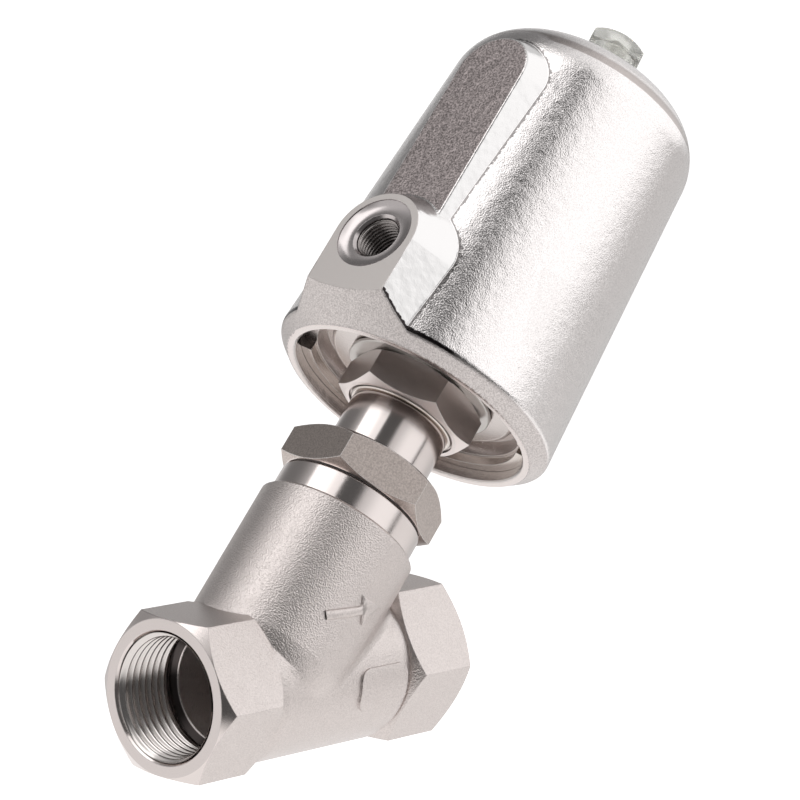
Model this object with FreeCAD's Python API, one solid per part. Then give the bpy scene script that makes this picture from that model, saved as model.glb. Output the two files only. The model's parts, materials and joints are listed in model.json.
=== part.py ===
import FreeCAD, Part
import math
import os

from FreeCAD import Vector

os.makedirs("parts", exist_ok=True)

# Pneumatic angle seat valve, in millimetres.
# Origin: centre of the inlet mouth. +X runs to the outlet, +Z is up.
# The actuator stands on an axis in the XZ plane that leans over the outlet.
# Round pieces are drawn upright: height runs along that axis from the point
# where it crosses the flow axis, and -x faces the air port. tilt() then leans them.

# Body
face_to_face = 75.0
hex_flats = 32.0
hex_length = 17.7
axis_angle = 50.0
axis_crossing = 24.5
barrel_step = 0.5
casting_blend = 2.5
pad_from_outlet = 27.3
pad_drop = 1.2
pad_length = 14.2
pad_height = 9.2
pad_corner = 2.6
pad_rise = 0.45

# Pipe threads, cut as plain bores at the thread's outer radius
port_radius = 13.22
port_depth = 15.0
port_chamfer = 0.45
waterway_radius = 11.5

# Seat and branch
orifice_radius = 9.5
lip_height = 1.0
lip_width = 2.0
web_thickness = 4.0
chamber_floor = 10.0
chamber_step = 4.0
mouth_face = 44.0
mouth_wall = 2.6
mouth_band = 6.3
branch_step = 1.6

# Bonnet, neck, nut and washer
gasket_thickness = 0.3
bonnet_hex_height = 8.8
bonnet_turn = 21.0
neck_length = 12.5
neck_step = 0.7
bush_flange = 2.8
screw_wall = 2.4
nut_flats = 27.0
nut_height = 8.2
nut_lift = 0.2
nut_turn = 0.0
washer_thickness = 1.0
washer_overhang = 1.1

# Stem, packing and travel
stem_radius = 4.0
stem_end_radius = 3.0
stroke = 9.0
disc_height = 7.0
disc_room = 3.7
disc_rim = 4.6
disc_crown = 5.6
seal_thickness = 3.0
plate_clearance = 1.1
plate_thickness = 2.2
disc_nut_flats = 10.0
disc_nut_height = 4.0
packing_width = 4.0
packing_count = 4
packing_pitch = 3.0
support_height = 3.0
packing_spring_height = 7.0
packing_wire = 0.7
gland_flange = 1.8
gland_pocket = 5.9

# Base cover, retaining ring and rim of the housing
cover_hub = 3.7
cover_rise = 1.7
cover_flange = 3.2
ring_thickness = 2.2
ring_width = 3.5
ring_gaps = ((118, 158), (-62, -52))
rim_lip = 2.8
rim_step = 2.0
groove_depth = 1.3
skirt_wall = 4.9
rim_chamfer = 3.0

# Actuator housing
cylinder_bore = 25.0
wall_taper = 3.5
crown_edge = 13.0
crown_wall = 7.1
air_space = 16.0
spring_space = 50.0
travel_room = 4.0
port_rise = 11.6
boss_reach = 3.4
boss_half = 10.1
boss_draft = 0.66
boss_run = 17.9
cone_reach = 14.0
duct_inset = 0.9
duct_half = 8.5
duct_offset = 0.5
duct_drop = 20.3
duct_draft = 0.60
duct_round = 0.7
duct_run = 12.0
air_thread_radius = 4.86
air_recess_radius = 8.6
air_recess_depth = 1.0
air_countersink = 0.6

# Piston and springs
piston_gap = 0.4
piston_web = 6.0
piston_length = 14.0
piston_wall = 3.0
piston_nut_flats = 13.0
piston_nut_height = 6.0
outer_wire = 1.5
outer_turns = 5
inner_wire = 1.1
inner_turns = 7
spring_room = 7.5
coil_steps = 16

# Sight plug and indicator
sight_bore = 5.0
plug_step = 0.8
plug_flats = 12.0
plug_turn = 40.0
plug_rise = 8.9
plug_head = 3.3
plug_wall = 2.0
pin_radius = 2.4
pin_rise = 1.5
pin_head = 11.6

# Clearances
screw_gap = 0.05
running_gap = 0.05
seat_gap = 0.30

# Radii that follow
stem_bore = stem_radius + running_gap
gland_radius = stem_radius + packing_width
packing_middle = (stem_radius + gland_radius) / 2
packing_outer = gland_radius - running_gap
screw_radius = gland_radius + screw_wall
shank_radius = gland_radius - 0.5
neck_radius = screw_radius + neck_step
chamber_radius = orifice_radius + chamber_step
spigot_radius = chamber_radius - screw_gap
mouth_radius = chamber_radius + mouth_wall
branch_radius = mouth_radius + branch_step
barrel_radius = hex_flats / 2 + barrel_step
nut_bore = screw_radius + screw_gap
piston_radius = cylinder_bore - piston_gap
sliding_radius = cylinder_bore - running_gap
rim_bore = cylinder_bore + rim_step
groove_radius = rim_bore + groove_depth
skirt_radius = rim_bore + skirt_wall
rim_flat = skirt_radius - rim_chamfer
crown_radius = skirt_radius - wall_taper

# Heights that follow, from the seat up
web_underside = chamber_floor - web_thickness
disc_low = chamber_floor + lip_height + seat_gap
disc_high = disc_low + disc_height
spigot_low = disc_high + stroke + disc_room
gland_floor = spigot_low + 5.0
support_low = gland_floor + packing_spring_height
packing_low = support_low + support_height
packing_high = packing_low + packing_count * packing_pitch
band_low = mouth_face - mouth_band
bonnet_low = mouth_face + gasket_thickness
bonnet_high = bonnet_low + bonnet_hex_height
neck_top = bonnet_high + neck_length
nut_low = neck_top + nut_lift
nut_high = nut_low + nut_height
washer_high = nut_high + washer_thickness
cover_low = washer_high + seat_gap
cover_inner_face = cover_low + cover_hub
bonnet_top = cover_inner_face + seat_gap
shoulder = cover_low + cover_rise
ring_high = shoulder - cover_flange
ring_low = ring_high - ring_thickness
rim_face = ring_low - rim_lip
port_height = shoulder + port_rise
piston_low = shoulder + air_space
web_high = piston_low + piston_web
piston_high = piston_low + piston_length
cylinder_top = piston_high + stroke + travel_room
roof = web_high + spring_space
crown_height = roof + crown_wall
plug_low = crown_height + 1.0
head_low = crown_height + plug_rise
head_high = head_low + plug_head

# Places of the air port, measured from the actuator axis
boss_face = -(skirt_radius + boss_reach)
duct_face = -(skirt_radius - duct_inset)

origin = Vector(0, 0, 0)
x_axis = Vector(1, 0, 0)
y_axis = Vector(0, 1, 0)
z_axis = Vector(0, 0, 1)
corner_ratio = 1 / math.cos(math.pi / 6)


def lathe(path):
    """Turned solid about Z. A step is (radius, height), with a mid point added for an arc."""
    edges = []
    last = Vector(path[0][0], 0, path[0][1])
    for step in path[1:] + path[:1]:
        end = Vector(step[0], 0, step[1])
        if len(step) == 4:
            middle = Vector(step[2], 0, step[3])
            edges.append(Part.Arc(last, middle, end).toShape())
        else:
            edges.append(Part.makeLine(last, end))
        last = end
    return Part.Face(Part.Wire(edges)).revolve(origin, z_axis, 360)


def ring(inner, outer, low, high):
    """Plain turned ring."""
    return lathe([(inner, low), (outer, low), (outer, high), (inner, high)])


def rod(radius, low, high):
    """Plain turned rod."""
    return Part.makeCylinder(radius, high - low, Vector(0, 0, low))


def hexagon(flats, low, high, turn):
    """Hexagonal prism with its first corner turned from +x."""
    reach = flats / 2 * corner_ratio
    corners = []
    for index in range(7):
        angle = math.radians(turn + 60 * index)
        corners.append(Vector(reach * math.cos(angle), reach * math.sin(angle), low))
    return Part.Face(Part.makePolygon(corners)).extrude(Vector(0, 0, high - low))


def hex_head(flats, low, high, turn, low_face, high_face):
    """Hexagon with its corners turned off at 30 degrees down to the two face radii."""
    reach = flats / 2 * corner_ratio + 0.01
    low_drop = (reach - low_face) * math.tan(math.pi / 6)
    high_drop = (reach - high_face) * math.tan(math.pi / 6)
    blank = lathe([
        (0, low), (low_face, low), (reach, low + low_drop),
        (reach, high - high_drop), (high_face, high), (0, high),
    ])
    return hexagon(flats, low, high, turn).common(blank)


def wire_coil(mean_radius, wire_radius, low, high, turns):
    """Open coil spring of round wire, standing between two heights."""
    steps = turns * coil_steps
    first = low + wire_radius
    rise = high - low - 2 * wire_radius
    sections = []
    for index in range(steps + 1):
        section = Part.Wire(Part.makeCircle(wire_radius, Vector(mean_radius, 0, first), y_axis))
        section.rotate(origin, z_axis, 360 * index / coil_steps)
        section.translate(Vector(0, 0, rise * index / steps))
        sections.append(section)
    return Part.makeLoft(sections, True, True)


def along_x(shape):
    """Turn an upright shape so that its height runs along +X."""
    turned = shape.copy()
    turned.rotate(origin, y_axis, 90)
    return turned


def tilt(shape):
    """Lean an upright shape onto the actuator axis."""
    leaned = shape.copy()
    leaned.rotate(origin, y_axis, 90 - axis_angle)
    leaned.translate(Vector(axis_crossing, 0, 0))
    return leaned


def drafted_tongue(half_width, top_centre, foot, face_x, depth, draft):
    """Raised tongue with a rounded top, standing out towards -x and wider at its base."""
    wires = []
    for inset in (0, depth):
        x_value = face_x + inset
        half = half_width + draft * inset
        left = Vector(x_value, half, foot)
        right = Vector(x_value, -half, foot)
        left_top = Vector(x_value, half, top_centre)
        right_top = Vector(x_value, -half, top_centre)
        crown = Vector(x_value, 0, top_centre + half)
        wires.append(Part.Wire([
            Part.makeLine(right, left),
            Part.makeLine(left, left_top),
            Part.Arc(left_top, crown, right_top).toShape(),
            Part.makeLine(right_top, right),
        ]))
    return Part.makeLoft(wires, True, True)


def pie_slice(start, stop, reach, low, high):
    """Slice about Z between two angles in degrees."""
    points = [Vector(0, 0, low)]
    steps = max(2, int((stop - start) / 10) + 1)
    for index in range(steps + 1):
        angle = math.radians(start + (stop - start) * index / steps)
        points.append(Vector(reach * math.cos(angle), reach * math.sin(angle), low))
    points.append(points[0])
    return Part.Face(Part.makePolygon(points)).extrude(Vector(0, 0, high - low))


def has_wall(faces, radius):
    """True when one of the faces is a cylinder of this radius."""
    walls = [face.Surface for face in faces if isinstance(face.Surface, Part.Cylinder)]
    return any(abs(wall.Radius - radius) < 0.01 for wall in walls)


def save(name, shape):
    """Write one piece and print its size."""
    shape = shape.removeSplitter()
    box = shape.BoundBox
    print(name, "solids", len(shape.Solids), "faces", len(shape.Faces),
          "size %.1f %.1f %.1f" % (box.XLength, box.YLength, box.ZLength),
          "volume %.0f" % shape.Volume, "valid", shape.isValid())
    shape.exportStep("parts/" + name + ".step")


# Valve body: one casting with two hexagonal pipe ends and a leaning branch
hex_reach = hex_flats / 2 * corner_ratio + 0.01
end_face_radius = hex_flats / 2 - 0.1
back_face_radius = hex_flats / 2 - 0.4
end_drop = (hex_reach - end_face_radius) * math.tan(math.radians(35))
back_drop = (hex_reach - back_face_radius) * math.tan(math.radians(30))
neck_in = 2.6
barrel_end = face_to_face - hex_length

inlet_hex = hexagon(hex_flats, 0, hex_length, 90).common(lathe([
    (0, 0), (end_face_radius, 0), (hex_reach, end_drop),
    (hex_reach, hex_length - neck_in), (end_face_radius, hex_length), (0, hex_length),
]))
outlet_hex = hexagon(hex_flats, barrel_end, face_to_face, 90).common(lathe([
    (0, barrel_end), (back_face_radius, barrel_end), (hex_reach, barrel_end + back_drop),
    (hex_reach, face_to_face - end_drop), (end_face_radius, face_to_face), (0, face_to_face),
]))
barrel = lathe([
    (0, hex_length - 1), (hex_flats / 2, hex_length - 1), (barrel_radius, hex_length + 1.5),
    (barrel_radius, barrel_end - 3.2),
    (barrel_radius - 1.9, barrel_end + 0.4, barrel_radius - 0.6, barrel_end - 1.1),
    (0, barrel_end + 0.4),
])
branch = lathe([
    (0, -7), (branch_radius - 5.2, -7), (branch_radius, 7, branch_radius - 1.7, -0.5),
    (branch_radius, band_low - 0.5), (branch_radius - 0.5, band_low), (mouth_radius, band_low),
    (mouth_radius, mouth_face - 0.5), (mouth_radius - 0.5, mouth_face), (0, mouth_face),
])
outside = along_x(inlet_hex.fuse([outlet_hex, barrel])).fuse(tilt(branch)).removeSplitter()

blend_edges = []
for edge in outside.Edges:
    faces = outside.ancestorsOfType(edge, Part.Face)
    if has_wall(faces, branch_radius) and has_wall(faces, barrel_radius):
        blend_edges.append(edge)
outside = outside.makeFillet(casting_blend, blend_edges)

# Raised blank pad low on the barrel
pad_centre = Vector(face_to_face - pad_from_outlet, 0, -pad_drop)
pad_depth = barrel_radius / 2
pad_corner_point = Vector(pad_centre.x - pad_length / 2, -barrel_radius - 2.5,
                          pad_centre.z - pad_height / 2)
pad_block = Part.makeBox(pad_length, pad_depth, pad_height, pad_corner_point)
pad_edges = [edge for edge in pad_block.Edges
             if abs(edge.Vertexes[0].Point.y - edge.Vertexes[-1].Point.y) > 1]
pad_block = pad_block.makeFillet(pad_corner, pad_edges)
pad_skin = along_x(rod(barrel_radius + pad_rise, pad_centre.x - pad_length, pad_centre.x + pad_length))
outside = outside.fuse(pad_block.common(pad_skin))

# Waterways: an inlet side below the slanted seat web, and an outlet side above it
far = 60.0
below_web = tilt(Part.makeBox(2 * far, 2 * far, far, Vector(-far, -far, web_underside - far)))
above_web = tilt(Part.makeBox(2 * far, 2 * far, far, Vector(-far, -far, chamber_floor)))
inlet_bore = along_x(rod(waterway_radius, port_depth - 5, far)).common(below_web)
outlet_bore = along_x(rod(waterway_radius, 5, face_to_face - port_depth + 5)).common(above_web)
chamber = tilt(lathe([
    (0, chamber_floor), (chamber_radius - 1, chamber_floor), (chamber_radius, chamber_floor + 1),
    (chamber_radius, mouth_face - 0.8), (chamber_radius + 0.8, mouth_face),
    (chamber_radius + 0.8, mouth_face + 1), (0, mouth_face + 1),
]))
orifice = tilt(rod(orifice_radius, web_underside - 8, chamber_floor + 2))
port_tool = lathe([
    (0, -1), (port_radius + port_chamfer, -1), (port_radius + port_chamfer, 0),
    (port_radius, port_chamfer), (port_radius, port_depth),
    (waterway_radius, port_depth + 1.0), (0, port_depth + 1.0),
])
inlet_port = along_x(port_tool)
outlet_port = along_x(port_tool)
outlet_port.rotate(origin, z_axis, 180)
outlet_port.translate(Vector(face_to_face, 0, 0))
seat_lip = tilt(lathe([
    (orifice_radius, chamber_floor - 1), (orifice_radius + lip_width, chamber_floor - 1),
    (orifice_radius + lip_width, chamber_floor), (orifice_radius + 0.8, chamber_floor + lip_height),
    (orifice_radius, chamber_floor + lip_height),
]))
valve_body = outside.cut([inlet_bore, outlet_bore, chamber, orifice, inlet_port, outlet_port])
save("valve_body", valve_body.fuse(seat_lip))

# Bonnet: hexagon and neck tube in one piece, screwed into the branch
bonnet_face_radius = hex_flats / 2 - 0.2
bush_seat = bonnet_top - 8.0
bonnet_turned = lathe([
    (stem_bore, spigot_low), (spigot_radius - 0.8, spigot_low), (spigot_radius, spigot_low + 0.8),
    (spigot_radius, mouth_face - 1.2), (spigot_radius - 1.0, mouth_face - 0.9),
    (spigot_radius - 1.0, bonnet_low + 0.5), (neck_radius + 1.0, bonnet_low + 0.5),
    (neck_radius + 1.0, bonnet_high), (neck_radius, bonnet_high + 0.8),
    (neck_radius, neck_top - 0.4), (neck_radius - 0.4, neck_top), (screw_radius, neck_top),
    (screw_radius, bonnet_top - 0.5), (screw_radius - 0.5, bonnet_top), (shank_radius, bonnet_top),
    (shank_radius, bush_seat), (gland_radius, bush_seat), (gland_radius, gland_floor),
    (stem_bore, gland_floor),
])
bonnet_hex = hex_head(hex_flats, bonnet_low, bonnet_high, bonnet_turn,
                      bonnet_face_radius, bonnet_face_radius)
bonnet_hex = bonnet_hex.cut(rod(neck_radius, bonnet_low - 1, bonnet_high + 1))
save("bonnet", tilt(bonnet_turned.fuse(bonnet_hex)))
save("body_gasket", tilt(ring(spigot_radius - 0.95, mouth_radius - 0.9, mouth_face, bonnet_low)))

# Stem packing inside the bonnet: spring, support, chevron rings and a gland on top
chevron = 0.9
flat = 0.05
gland_low = packing_high + chevron
gland_high = bush_seat - 2 * flat
gland_recess = gland_high - gland_pocket
packing_rings = []
for index in range(packing_count):
    low = packing_low + index * packing_pitch
    high = low + packing_pitch - flat
    packing_rings.append(lathe([
        (stem_bore, low + chevron), (packing_middle, low), (packing_outer, low + chevron),
        (packing_outer, high), (packing_middle, high - chevron), (stem_bore, high),
    ]))
save("packing_rings", tilt(Part.makeCompound(packing_rings)))
save("packing_support", tilt(lathe([
    (stem_bore, support_low), (packing_outer, support_low), (packing_outer, packing_low + 0.8),
    (packing_middle, packing_low - 0.1), (stem_bore, packing_low + 0.8),
])))
packing_coil_radius = gland_radius - 2 * packing_wire
save("packing_spring", tilt(wire_coil(packing_coil_radius, packing_wire, gland_floor, support_low, 4)))
save("packing_gland", tilt(lathe([
    (stem_bore, gland_low), (packing_middle, gland_low - 0.8), (packing_outer, gland_low),
    (packing_outer, gland_high), (gland_radius - gland_flange, gland_high),
    (gland_radius - gland_flange, gland_recess), (stem_bore, gland_recess),
])))

# Guide bush: screwed into the top of the neck tube, its flange holds the base cover
bush_flange_radius = screw_radius + bush_flange
bush_high = bonnet_top + 3.0
bush_nose = bush_high + 0.8
wiper_seat = bonnet_top + 0.6
wiper_radius = gland_radius - 1.5
wiper_high = bush_high + 0.4
save("guide_bush", tilt(lathe([
    (stem_bore, bush_seat + 0.1), (shank_radius - screw_gap, bush_seat + 0.1),
    (shank_radius - screw_gap, bonnet_top), (bush_flange_radius, bonnet_top),
    (bush_flange_radius, bush_high), (bush_flange_radius - 0.8, bush_nose),
    (wiper_radius + 0.1, bush_nose), (wiper_radius + 0.1, wiper_seat), (stem_bore, wiper_seat),
])))
save("stem_wiper", tilt(lathe([
    (stem_bore, wiper_seat + 0.1), (wiper_radius, wiper_seat + 0.1), (wiper_radius, wiper_high),
    (stem_radius + 1.2, wiper_high), (stem_radius + 0.6, wiper_high + 0.8),
    (stem_bore, wiper_high + 0.8),
])))

# Nut and washer under the actuator, and the wire ring at the top of the neck
nut_recess = neck_radius + 1.2
nut = hex_head(nut_flats, nut_low, nut_high, nut_turn, nut_flats / 2 - 0.4, nut_flats / 2)
nut = nut.cut(lathe([
    (0, nut_low - 1), (nut_recess, nut_low - 1), (nut_recess, nut_low + 0.7),
    (nut_bore, nut_low + 1.6), (nut_bore, nut_high + 1), (0, nut_high + 1),
]))
save("actuator_nut", tilt(nut))
wire_high = neck_top + 0.7
wire_reach = neck_radius + 0.65
save("neck_ring", tilt(lathe([
    (nut_bore, neck_top), (wire_reach - 0.25, neck_top), (wire_reach, neck_top + 0.25),
    (wire_reach, wire_high - 0.25), (wire_reach - 0.25, wire_high), (nut_bore, wire_high),
])))
washer_radius = nut_flats / 2 * corner_ratio + washer_overhang
save("nut_washer", tilt(lathe([
    (nut_bore, nut_high), (washer_radius - 0.2, nut_high), (washer_radius, nut_high + 0.2),
    (washer_radius, washer_high - 0.2), (washer_radius - 0.2, washer_high),
    (nut_bore, washer_high),
])))

# Actuator housing: one cast pot with the air port boss and the duct rib.
# The boss runs out below in the same cone as the skirt.
skirt_low = rim_face + rim_chamfer
cone_foot = (rim_flat + 0.2, rim_face + 0.3)
cone_head = (skirt_radius - 0.55, skirt_low - 0.75)
cone_slope = (cone_head[1] - cone_foot[1]) / (cone_head[0] - cone_foot[0])
crown_mid = crown_edge * (1 - math.cos(math.pi / 4))
pot = lathe([
    (0, rim_face), (rim_flat - 0.5, rim_face),
    (cone_foot[0], cone_foot[1], rim_flat - 0.1, rim_face + 0.06),
    cone_head,
    (skirt_radius, skirt_low + 0.6, skirt_radius - 0.12, skirt_low - 0.1),
    (crown_radius, crown_height - crown_edge),
    (crown_radius - crown_edge, crown_height, crown_radius - crown_mid, crown_height - crown_mid),
    (0, crown_height),
])
boss_depth = boss_reach + boss_run
boss = drafted_tongue(boss_half, port_height, rim_face, boss_face, boss_depth, boss_draft)
under_cone = lathe([
    (0, cone_foot[1]), cone_foot,
    (cone_foot[0] + cone_reach, cone_foot[1] + cone_reach * cone_slope),
    (cone_foot[0] + cone_reach, crown_height), (0, crown_height),
])
duct_top = crown_height - duct_drop
duct = drafted_tongue(duct_half, duct_top, port_height, duct_face, duct_run, duct_draft)
duct.translate(Vector(0, -duct_offset, 0))
housing = pot.fuse([boss.common(under_cone), duct]).removeSplitter()


def on_duct_face(edge):
    """True when both ends of an edge lie on the duct's flat face, clear of the boss."""
    level = all(abs(vertex.Point.x - duct_face) < 0.02 for vertex in edge.Vertexes)
    return level and edge.CenterOfMass.z > port_height + boss_half - 2


housing = housing.makeFillet(duct_round, [edge for edge in housing.Edges if on_duct_face(edge)])
cavity = lathe([
    (0, rim_face - 1), (rim_bore + 0.5, rim_face - 1), (rim_bore + 0.5, rim_face),
    (rim_bore, rim_face + 0.5), (rim_bore, ring_low), (groove_radius, ring_low),
    (groove_radius, ring_high), (rim_bore, ring_high), (rim_bore, shoulder),
    (cylinder_bore, shoulder), (cylinder_bore, cylinder_top),
    (cylinder_bore - 0.6, cylinder_top + 0.6), (cylinder_bore - 2.0, roof - 6.0),
    (cylinder_bore - 8.0, roof), (sight_bore, roof), (sight_bore, crown_height + 1),
    (0, crown_height + 1),
])

# Air port: a turned recess, then a thread that runs through into the cylinder
air_reach = -boss_face - cylinder_bore + 3.0
air_tool = along_x(lathe([
    (0, -1), (air_recess_radius, -1), (air_recess_radius, air_recess_depth * 0.3),
    (air_thread_radius + air_countersink, air_recess_depth,
     air_recess_radius - 1.0, air_recess_depth * 0.8),
    (air_thread_radius, air_recess_depth + air_countersink),
    (air_thread_radius, air_reach), (0, air_reach),
]))
air_tool.translate(Vector(boss_face, 0, port_height))
save("actuator_housing", tilt(housing.cut([cavity, air_tool])))

# Retaining ring in two halves, with the gaps seen in the recess
retaining = ring(groove_radius - 0.2 - ring_width, groove_radius - 0.2,
                 ring_low + 0.05, ring_high - 0.05)
retaining = retaining.cut([pie_slice(start, stop, groove_radius + 10, ring_low - 1, ring_high + 1)
                           for start, stop in ring_gaps])
save("retaining_ring", tilt(retaining))

# Base cover: dished plate that turns with the housing
hub_bore = screw_radius + 2 * running_gap
cover_edge = rim_bore - 0.1
rise_foot = rim_bore - 5.4
dish = cover_low + 1.9
cover_top = cover_inner_face + 1.6
seal_low = shoulder + 1.0
seal_high = seal_low + 1.8
seal_floor = cylinder_bore - 1.6
base_cover = lathe([
    (hub_bore, cover_low), (rise_foot - 1.0, cover_low),
    (rise_foot, cover_low + 0.6, rise_foot - 0.3, cover_low + 0.15), (rise_foot + 0.6, dish),
    (rise_foot + 2.0, dish), (rise_foot + 2.6, ring_high), (cover_edge, ring_high),
    (cover_edge, shoulder), (sliding_radius, shoulder), (sliding_radius, cover_top),
    (cylinder_bore - 2.6, cover_top), (cylinder_bore - 4.0, cover_inner_face),
    (hub_bore, cover_inner_face),
])
cuts = [ring(seal_floor, cylinder_bore + 1, seal_low, seal_high)]
for angle in (142, 156):
    slot = Part.makeBox(2.0, 2.6, 3.0, Vector(rim_bore - 1.8, -1.3, ring_high - 1))
    slot.rotate(origin, z_axis, angle)
    cuts.append(slot)
save("base_cover", tilt(base_cover.cut(cuts)))
save("cover_seal", tilt(ring(seal_floor + 0.05, sliding_radius, seal_low + 0.05, seal_high - 0.05)))

# Piston with its seal and guide band
cup_radius = piston_radius - piston_wall
groove_floor = cup_radius + 0.3
groove_low = web_high - 2.6
groove_high = groove_low + 3.2
band_floor = cup_radius + 1.4
slide_low = piston_high - 5.0
slide_high = slide_low + 3.0
seal_waist = groove_low + 1.6
piston = lathe([
    (stem_radius, piston_low), (stem_radius + 6.0, piston_low), (stem_radius + 7.0, piston_low + 1.5),
    (piston_radius - 1.0, piston_low + 1.5), (piston_radius, piston_low + 2.5),
    (piston_radius, piston_high), (cup_radius, piston_high), (cup_radius, web_high),
    (stem_radius, web_high),
])
piston = piston.cut([ring(groove_floor, cylinder_bore + 5, groove_low, groove_high),
                     ring(band_floor, cylinder_bore + 5, slide_low, slide_high)])
save("piston", tilt(piston))
save("piston_seal", tilt(lathe([
    (groove_floor + 0.05, groove_low + 0.1), (sliding_radius, groove_low + 0.1),
    (piston_radius, seal_waist), (sliding_radius, groove_high - 0.1),
    (groove_floor + 0.05, groove_high - 0.1), (groove_floor + 0.7, seal_waist),
])))
save("piston_guide_band", tilt(ring(band_floor + 0.05, sliding_radius,
                                    slide_low + 0.05, slide_high - 0.05)))

# Springs between the piston web and the roof of the housing
nut_reach = piston_nut_flats / 2 * corner_ratio
outer_coil_radius = cylinder_bore - spring_room
inner_coil_radius = nut_reach + inner_wire + 2.4
save("outer_spring", tilt(wire_coil(outer_coil_radius, outer_wire,
                                    web_high + 0.05, roof - 3.0, outer_turns)))
save("inner_spring", tilt(wire_coil(inner_coil_radius, inner_wire,
                                    web_high + 0.05, roof - 0.05, inner_turns)))

# Stem, with the disc below and the indicator above
stem_low = disc_low - plate_thickness - disc_nut_height - 1.1
stem_top = web_high + 9.5
save("stem", tilt(lathe([
    (0, stem_low), (stem_end_radius - 0.4, stem_low), (stem_end_radius, stem_low + 0.4),
    (stem_end_radius, disc_high - 1.5), (stem_radius, disc_high - 1.5),
    (stem_radius, piston_low - 0.1), (stem_radius - 0.05, piston_low - 0.1),
    (stem_radius - 0.05, stem_top - 0.5), (stem_radius - 0.5, stem_top), (0, stem_top),
])))
disc_bore = stem_end_radius + screw_gap
seal_outer = orifice_radius + lip_width + 0.1
disc_radius = seal_outer + 0.8
plate_low = disc_low - plate_thickness
plate_radius = orifice_radius - plate_clearance
save("seat_seal", tilt(ring(disc_bore, seal_outer, disc_low, disc_low + seal_thickness)))
save("valve_disc", tilt(lathe([
    (disc_bore, disc_low + seal_thickness), (seal_outer + 0.05, disc_low + seal_thickness),
    (seal_outer + 0.05, disc_low + 1.0), (disc_radius, disc_low + 1.0),
    (disc_radius, disc_low + disc_rim), (disc_radius - 1.0, disc_low + disc_crown),
    (stem_radius + 2.0, disc_low + disc_crown), (stem_radius + 2.0, disc_high - 0.1),
    (stem_radius + 0.02, disc_high - 0.1), (stem_radius + 0.02, disc_high - 1.5),
    (disc_bore, disc_high - 1.5),
])))
save("seal_plate", tilt(lathe([
    (disc_bore, plate_low), (plate_radius - 1.2, plate_low), (plate_radius, plate_low + 1.0),
    (plate_radius, disc_low), (disc_bore, disc_low),
])))
disc_nut = hex_head(disc_nut_flats, plate_low - disc_nut_height, plate_low, 0,
                    disc_nut_flats / 2 - 0.2, disc_nut_flats / 2 - 0.1)
save("disc_nut", tilt(disc_nut.cut(rod(disc_bore, stem_low - 1, disc_low))))
piston_nut = hex_head(piston_nut_flats, web_high, web_high + piston_nut_height, 0,
                      piston_nut_flats / 2 - 0.1, piston_nut_flats / 2 - 0.3)
save("piston_nut", tilt(piston_nut.cut(rod(stem_radius, piston_low, stem_top))))
pin_top = crown_height + pin_rise
pin_neck = pin_top - pin_head
save("indicator_pin", tilt(lathe([
    (0, stem_top), (stem_radius - 0.6, stem_top), (stem_radius - 0.6, stem_top + 1.5),
    (pin_radius - 0.8, stem_top + 2.5), (pin_radius - 0.8, pin_neck), (pin_radius, pin_neck + 1.0),
    (pin_radius, pin_top - 0.5), (pin_radius - 0.5, pin_top), (0, pin_top),
])))

# Clear sight plug on top, over the indicator
plug_screw = sight_bore - screw_gap
plug_seat = sight_bore - 0.5
plug_neck = sight_bore + plug_step
plug_bore = sight_bore - plug_wall
plug_foot = roof + 0.5
plug = hex_head(plug_flats, head_low, head_high, plug_turn, plug_flats / 2 - 0.1,
                plug_flats / 2 - 0.2)
plug = plug.fuse(lathe([
    (0, plug_foot), (plug_screw, plug_foot), (plug_screw, crown_height - 0.6),
    (plug_seat, crown_height - 0.4), (plug_seat, plug_low), (plug_neck, plug_low),
    (plug_neck, head_low + 0.5), (0, head_low + 0.5),
]))
plug = plug.cut(lathe([
    (0, roof), (plug_bore, roof), (plug_bore, head_high - 1.6), (0, head_high - 0.9),
]))
save("sight_plug", tilt(plug))
save("sight_plug_seal", tilt(ring(plug_seat + 0.05, plug_neck + 0.5, crown_height, plug_low)))
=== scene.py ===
# %% [markdown]
# # A pneumatic angle seat valve, dressed for a studio photograph
#
# The solids come from the CAD model and already have their real size. This lesson gives them
# their finish, adds the few things that are too fine for the solids, such as the pipe threads
# and the clear film on the actuator, and then builds the light and the camera.

# %% Load the frame
import json
import math

import bpy
from mathutils import Matrix, Vector
from mathutils.bvhtree import BVHTree


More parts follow.
